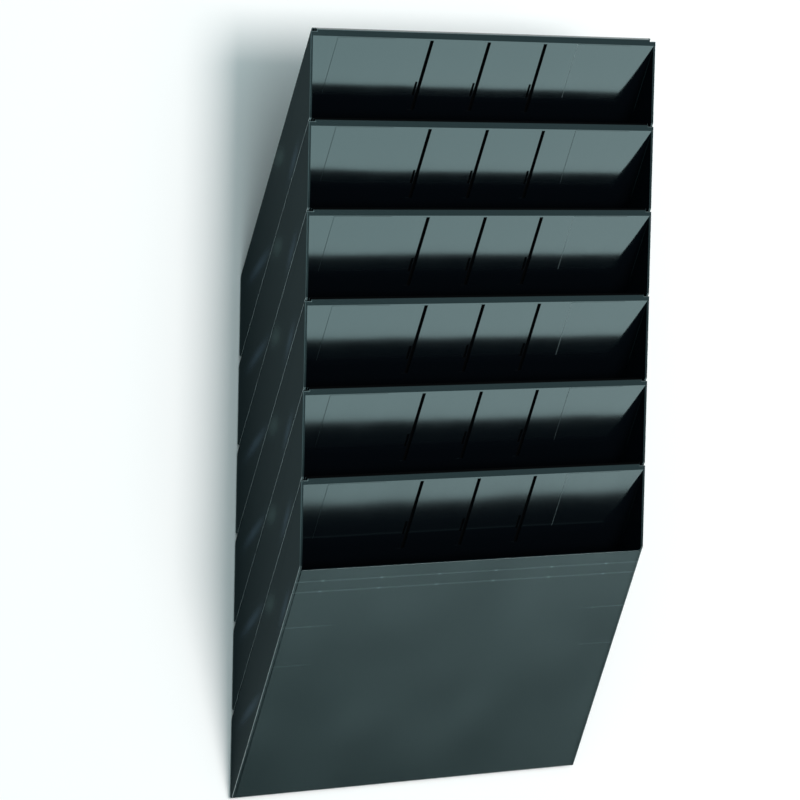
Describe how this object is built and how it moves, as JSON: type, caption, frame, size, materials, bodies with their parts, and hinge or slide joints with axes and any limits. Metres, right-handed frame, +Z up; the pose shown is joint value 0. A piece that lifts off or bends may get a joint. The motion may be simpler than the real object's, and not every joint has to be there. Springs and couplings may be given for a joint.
{
  "type": "wall chart rack",
  "caption": "Wall rack for charts: a stack of open-fronted landscape pockets in glossy black plastic, each hooked over the one above, hung on wall screws.",
  "frame": {"origin": "middle of the four wall screws, on the surface of the wall", "axes": "+X to the viewer's right, +Y into the wall, +Z up; the mouths of the pockets face -Y"},
  "size_m": [0.348, 0.097, 0.5363],
  "materials": {
    "black_plastic": "glossy moulded black, faintly green-grey",
    "screw_steel": "bright zinc plated",
    "plug_plastic": "matt light grey"
  },
  "bodies": {
    "wall_fixings": {"wall_screw_1": "screw_steel", "wall_screw_2": "screw_steel", "wall_screw_3": "screw_steel", "wall_screw_4": "screw_steel", "wall_plug_1": "plug_plastic", "wall_plug_2": "plug_plastic", "wall_plug_3": "plug_plastic", "wall_plug_4": "plug_plastic"},
    "rack": {"pocket_1": "black_plastic", "pocket_2": "black_plastic", "pocket_3": "black_plastic", "pocket_4": "black_plastic", "pocket_5": "black_plastic", "pocket_6": "black_plastic"}
  },
  "joints": [
    {"name": "rack_lift", "type": "slide", "parent": "wall_fixings", "child": "rack", "axis": [0, 0, 1], "range_m": [0, 0.009]}
  ]
}
